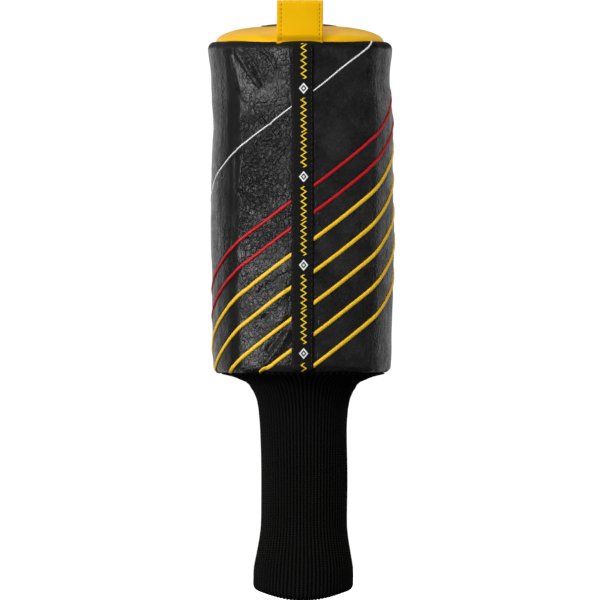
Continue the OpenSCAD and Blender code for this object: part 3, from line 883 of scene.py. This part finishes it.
def strap_thickness(x, z):
    """Half the strap's thickness: thinner in the seam, along its stitches and at its edges."""
    inset = TAB_W / 2 - TAB_STITCH_INSET
    groove = 0.14 * MM * bump(np.abs(x - 0.3 * MM), inset, 0.8 * MM)
    hole = 0.12 * MM * bump(np.abs(x - 0.3 * MM), inset, 0.5 * MM) * (0.5 + 0.5 * np.cos(TAU * z / TAB_STITCH_PITCH)) ** 3
    return (STRAP_T / 2 - groove - hole) * (0.55 + 0.45 * ease(z / (3 * MM)))


def pull_tab():
    along = np.linspace(0, 1, 150)
    flat = np.linspace(-1, 1, 61)
    a = np.linspace(0, math.pi, 7)[1:-1]
    edge = 0.45 * MM
    half = TAB_W / 2 - edge
    # once round the strap: outside from left to right, round the edge, and back
    x = np.concatenate([flat * half, half + edge * np.sin(a), -flat * half, -half - edge * np.sin(a)])
    up = np.concatenate([np.ones(61), np.cos(a), -np.ones(61), -np.cos(a)])
    _, z, _ = tab_path(along)
    lift = up * strap_thickness(x, z[:, None])
    rings = tab_point(x, along[:, None], lift)
    uv = np.stack(np.broadcast_arrays(x, along[:, None] * 0.048 + (up < 0) * 0.1), -1)
    obj = skin_rings("tab_strap", rings, "caps", uv)
    place(obj, tab_leather(), TAB_BEND, ["pull_tab"])


def tab_stitches(material):
    _, top_z, _ = tab_path(np.array([0.5]))
    z_rows = np.arange(1.6 * MM, top_z[0] - 1.5 * MM, TAB_STITCH_PITCH) + TAB_STITCH_PITCH / 2
    t = np.linspace(0, 0.5, 400)
    _, z_of_t, _ = tab_path(t)
    centres, runs, outs = [], [], []
    for face in (0, 1):
        for side in (-1, 1):
            x = side * (TAB_W / 2 - TAB_STITCH_INSET) + 0.3 * MM
            for z in z_rows:
                here = np.interp(z, z_of_t, t)
                here = here if face == 0 else 1 - here
                lift = strap_thickness(x, z) + 0.02 * MM
                centre = tab_point(x, here, lift)
                centres.append(centre)
                runs.append(tab_point(x, here + 0.002, lift) - centre)
                outs.append(tab_point(x, here, lift + MM) - centre)
    obj = capsules("tab_thread", centres, runs, outs, 1.7 * MM, 0.19 * MM)
    place(obj, material, TAB_BEND, ["pull_tab_stitches"])


# ---------------------------------------------------------------- the knit sock


RIBS = 76
STITCH = 1.0 * MM
SOCK_BEND = ("barrel", "sock", (0, 0, BOTTOM_Z), (0, 0, BOTTOM_Z - 24 * MM))
HEM_RISE = 5.2 * MM


def sock_path():
    """Radius and height of the sock's outside, from inside the barrel down to the hem's fold."""
    z = np.linspace(SOCK_Z.min() + 4 * MM, BOTTOM_Z - 0.6 * MM, 500)
    r = np.interp(z, SOCK_Z, SOCK_R) + 4.2 * MM * bump(z, BOTTOM_Z - 1 * MM, 2.4 * MM) + 1.0 * MM * bump(z, BOTTOM_Z - 14 * MM, 7 * MM)
    soft = np.convolve(np.pad(r, 20, mode="edge"), np.ones(41) / 41, mode="valid")
    r = np.convolve(np.pad(r, 4, mode="edge"), np.ones(9) / 9, mode="valid")
    r = r + (soft - r) * ease((z - 80 * MM) / (12 * MM)) * ease((120 * MM - z) / (8 * MM))
    fold_r = 3.6 * MM
    a = np.linspace(0, math.pi, 30)
    hem = np.stack([r[0] - fold_r + fold_r * np.cos(a), z[0] - (z[0] - SOCK_Z.min()) * np.sin(a)], -1)
    down = np.stack([r, z], -1)[::-1]
    collar = [(CAVITY_R + 0.9 * MM, BOTTOM_Z + 7.5 * MM), (CAVITY_R + 1.2 * MM, BOTTOM_Z + 2 * MM), (CAVITY_R + 1.1 * MM, BOTTOM_Z + 0.4 * MM)]
    up = [(hem[-1][0] - 0.3 * MM, 9 * MM), (hem[-1][0] - 1.0 * MM, 14 * MM)]
    path = np.concatenate([collar, down, hem[1:], up])
    length = np.concatenate([[0], np.cumsum(np.hypot(*np.diff(path, axis=0).T))])
    return path, length


def rib_shape(across, stretch):
    """Height of a rib, 0 in the valley and 1 on top, at a share across it. Stretched ribs are flatter."""
    return np.abs(np.sin(math.pi * across)) ** (0.8 + 0.2 * stretch)


def sock_lean(points):
    """The sock hangs a little to +X of the barrel's middle."""
    share = bump(points[..., 2], 60 * MM, 56 * MM)
    return points + np.stack([0.9 * MM * share, 0 * share, 0 * share], -1)


def hem_sag(turn, z):
    """The hem hangs lowest at the front and back, and rises at the sides."""
    return HEM_RISE * np.sin(turn) ** 2 * ease((26 * MM - z) / (24 * MM))


def knit_layer(name, path, length, rows, per_rib, depth, sign):
    """One layer of rib knit along a path. sign is 1 where its ribs face out and -1 where they face in."""
    around = RIBS * per_rib
    turn = np.linspace(-math.pi, math.pi, around, endpoint=False)
    run = np.linspace(length[0], length[-1], rows)
    r = np.interp(run, length, path[:, 0])
    z = np.interp(run, length, path[:, 1])
    lean = np.hypot(np.gradient(r), np.gradient(z))
    out_r, out_z = -np.gradient(z) / lean, np.gradient(r) / lean
    stretch = np.clip((r - 0.0235) / 0.02, 0, 1)[:, None]
    base = round_z(turn, 0.0235, run[:, None])
    wander = 0.22 * noise(base, np.array([0.03, 0.03, 0.03]), 61)
    across = (turn / TAU * RIBS + wander) % 1
    rib = rib_shape(across, stretch)
    swell = 0.5 * MM * noise(base, np.array([0.018, 0.018, 0.03]), 62) * ease((BOTTOM_Z - z[:, None]) / 0.02)
    lift = depth * (1 - 0.45 * stretch) * (rib - 0.75) + swell * sign
    z = z[:, None] + out_z[:, None] * lift
    points = sock_lean(round_z(turn, r[:, None] + out_r[:, None] * lift, z + hem_sag(turn, z)))
    uv = np.stack(np.broadcast_arrays(turn / TAU * RIBS + wander, run[:, None] / STITCH), -1)
    return points, uv


def sock_outside(material):
    path, length = sock_path()
    points, uv = knit_layer("outer", path, length, 170, 6, 1.15 * MM, 1)
    # the back of this layer, a plain skin that closes it
    inner = path - np.array([1.5 * MM, 0])
    plain, plain_uv = knit_layer("outer", inner, length, 40, 6, 0.0, 1)
    keep = slice(2, -3)
    rings = np.concatenate([points, plain[::-1][keep]])
    obj = skin_rings("sock_knit", rings, "loop", np.concatenate([uv, plain_uv[::-1][keep]]))
    place(obj, material, SOCK_BEND, ["sock_neck", "sock_outer_layer"])


def sock_inside(material):
    """The inner layer, from the hem's fold up to the flare."""
    z = np.linspace(11 * MM, BOTTOM_Z - 2 * MM, 200)
    outer = np.interp(z, SOCK_Z, SOCK_R)
    r = np.minimum(np.interp(z, [11 * MM, 20 * MM, 30 * MM], [BORE_R + 1.6 * MM, BORE_R + 0.9 * MM, BORE_R + 0.8 * MM]), outer)
    r = np.maximum(r, outer - 3.6 * MM)
    path = np.stack([r, z], -1)
    length = np.concatenate([[0], np.cumsum(np.hypot(*np.diff(path, axis=0).T))])
    points, uv = knit_layer("inner", path, length, 100, 4, -0.5 * MM, 0)
    back, back_uv = knit_layer("inner", path + np.array([0.9 * MM, 0]), length, 30, 4, 0.0, 0)
    rings = np.concatenate([points, back[::-1]])
    obj = skin_rings("sock_inner_knit", rings, "loop", np.concatenate([uv, back_uv[::-1]]))
    place(obj, material, SOCK_BEND, ["sock_inner_layer"])


# ---------------------------------------------------------------- hidden layers


def revolved(name, outside, inside, around, lift, shape=None):
    """A closed ring from an outside and an inside line of (radius, height), roughened by lift."""
    turn = np.linspace(-math.pi, math.pi, around, endpoint=False)
    rings = []
    for k, (r, z) in enumerate([*outside, *inside[::-1]]):
        base = round_z(turn, r, z)
        rough = lift * noise(base, 0.0035, 71) if k < len(outside) else 0
        if shape and k < len(outside):
            rough = rough + shape(turn)
        rings.append(round_z(turn, r + rough, z))
    return skin_rings(name, np.stack(rings))


def lining():
    top = TOP_Z - 9 * MM
    low = BOTTOM_Z + 8.7 * MM
    z = np.linspace(low, top, 90)
    obj = revolved("fleece_lining", [(CAVITY_R + 0.4 * MM, v) for v in z], [(CAVITY_R + 1.7 * MM, v) for v in z], 220, 0.35 * MM)
    material = fleece()
    place(obj, material, "barrel", ["body_lining"])
    around = 180
    turn = np.linspace(-math.pi, math.pi, around, endpoint=False)
    r = np.linspace(0.03, 1, 40) * (CAVITY_R + 1.9 * MM)
    under = np.stack([round_z(turn, v, crown_height(v) - 6.9 * MM + 0.3 * MM * noise(round_z(turn, v, 0), 0.0035, 72)) for v in r])
    over = np.stack([round_z(turn, v, crown_height(v) - 5.6 * MM) for v in r[::-4]])
    obj = skin_rings("crown_fleece", np.concatenate([under, over]), "caps")
    place(obj, material, "barrel", ["crown_lining"])


def foam():
    material = open_foam()
    z = np.linspace(BOTTOM_Z + 9 * MM, TOP_Z - 9 * MM, 60)
    r = np.interp(z, WALL_Z, WALL_R) - 2.4 * MM
    obj = revolved("wall_foam", list(zip(r, z)), [(CAVITY_R + 1.9 * MM, v) for v in z], 160, 0.1 * MM, lambda turn: 0.85 * facet(turn))
    place(obj, material, "barrel", ["body_foam"])
    turn = np.linspace(-math.pi, math.pi, 160, endpoint=False)
    r = np.linspace(0.03, 1, 30) * (CROWN_R - 1.8 * MM)
    over = np.stack([round_z(turn, v, crown_height(v) - 2.9 * MM) for v in r])
    under = np.stack([round_z(turn, v, crown_height(v) - 5.4 * MM) for v in r[::-2]])
    obj = skin_rings("crown_foam_pad", np.concatenate([over, under]), "caps")
    place(obj, material, "barrel", ["crown_foam"])


# ---------------------------------------------------------------- floor, light and camera


def aim(obj, target):
    direction = np.array(target, float) - np.array(obj.location, float)
    from mathutils import Vector
    obj.rotation_euler = Vector(direction).to_track_quat("-Z", "Y").to_euler()


def panel(name, turn, rise, distance, width, height, radiance, reflected=True):
    """A soft light: its turn and rise are degrees round and above the barrel's middle."""
    light = bpy.data.lights.new(name, "AREA")
    light.shape = "RECTANGLE"
    light.size, light.size_y = width, height
    light.energy = radiance * math.pi * width * height
    obj = bpy.data.objects.new(name, light)
    bpy.context.scene.collection.objects.link(obj)
    a, e = math.radians(turn), math.radians(rise)
    middle = (0, 0, 0.2)
    obj.location = (distance * math.cos(e) * math.sin(a), -distance * math.cos(e) * math.cos(a), middle[2] + distance * math.sin(e))
    aim(obj, middle)
    obj.visible_camera = False
    obj.visible_glossy = reflected
    return obj


def studio():
    size = 1.5
    verts = np.array([(-size, -size, 0), (size, -size, 0), (size, size, 0), (-size, size, 0)], float)
    floor = add_mesh("studio_floor", verts - [0, 0, 0.5 * MM], np.array([[0, 1, 2, 3]]))
    floor.data.materials.append(studio_white())
    floor.visible_glossy = False
    floor.visible_diffuse = False

    world = bpy.data.worlds.new("studio")
    bpy.context.scene.world = world
    world.use_nodes = True
    tree = world.node_tree
    path = tree.nodes.new("ShaderNodeLightPath")
    mix = tree.nodes.new("ShaderNodeMixShader")
    dim, bright = tree.nodes["Background"], tree.nodes.new("ShaderNodeBackground")
    dim.inputs["Color"].default_value = (1, 1, 1, 1)
    dim.inputs["Strength"].default_value = 0.05
    bright.inputs["Color"].default_value = (1, 1, 1, 1)
    bright.inputs["Strength"].default_value = 1.05
    tree.links.new(path.outputs["Is Camera Ray"], mix.inputs[0])
    tree.links.new(dim.outputs[0], mix.inputs[1])
    tree.links.new(bright.outputs[0], mix.inputs[2])
    tree.links.new(mix.outputs[0], tree.nodes["World Output"].inputs[0])

    panel("key_front", -25, 33, 1.9, 1.3, 1.1, 3.3, reflected=False)
    panel("key_left", -80, 40, 1.9, 1.0, 1.0, 1.0, reflected=False)
    panel("key_right", 60, 30, 1.9, 1.2, 1.0, 4.6, reflected=False)
    panel("key_back", 180, 50, 1.9, 1.6, 1.0, 1.35)
    panel("side_soft", -48, 0, 1.2, 0.9, 0.8, 5.6)
    panel("dim_right", 52, 5, 1.2, 0.5, 1.1, 0.36)
    panel("thread_shine", -30, 45, 1.6, 0.6, 0.5, 2.0)
    panel("rim_left", -150, 0, 1.2, 1.05, 1.3, 0.95)
    panel("rim_right", 142, 0, 1.2, 1.15, 1.3, 0.66)


def camera():
    distance = 12.0
    frame_height = 0.3305
    data = bpy.data.cameras.new("camera")
    data.sensor_width = 36
    data.lens = data.sensor_width * distance / frame_height
    data.clip_end = 100
    obj = bpy.data.objects.new("camera", data)
    bpy.context.scene.collection.objects.link(obj)
    obj.location = (-1.4 * MM, -distance, frame_height / 2)
    obj.rotation_euler = (math.pi / 2, 0, 0)
    bpy.context.scene.camera = obj


bpy.context.scene.view_settings.view_transform = "Standard"
camera()
studio()
barrel_leather()
stripes()
back_ribbon()
black_thread = thread("black_thread", (0.004, 0.004, 0.004), (0.01, 0.01, 0.01), 0.6)
ribbon_stitches(black_thread)
crown_leather()
crown_patch()
patch_stitches(black_thread)
pull_tab()
tab_stitches(thread("brown_thread", (0.2, 0.08, 0.006), (0.34, 0.15, 0.012), 0.6, (1, 0.5, 0.1)))
knit = rib_knit()
sock_outside(knit)
sock_inside(knit)
lining()
foam()
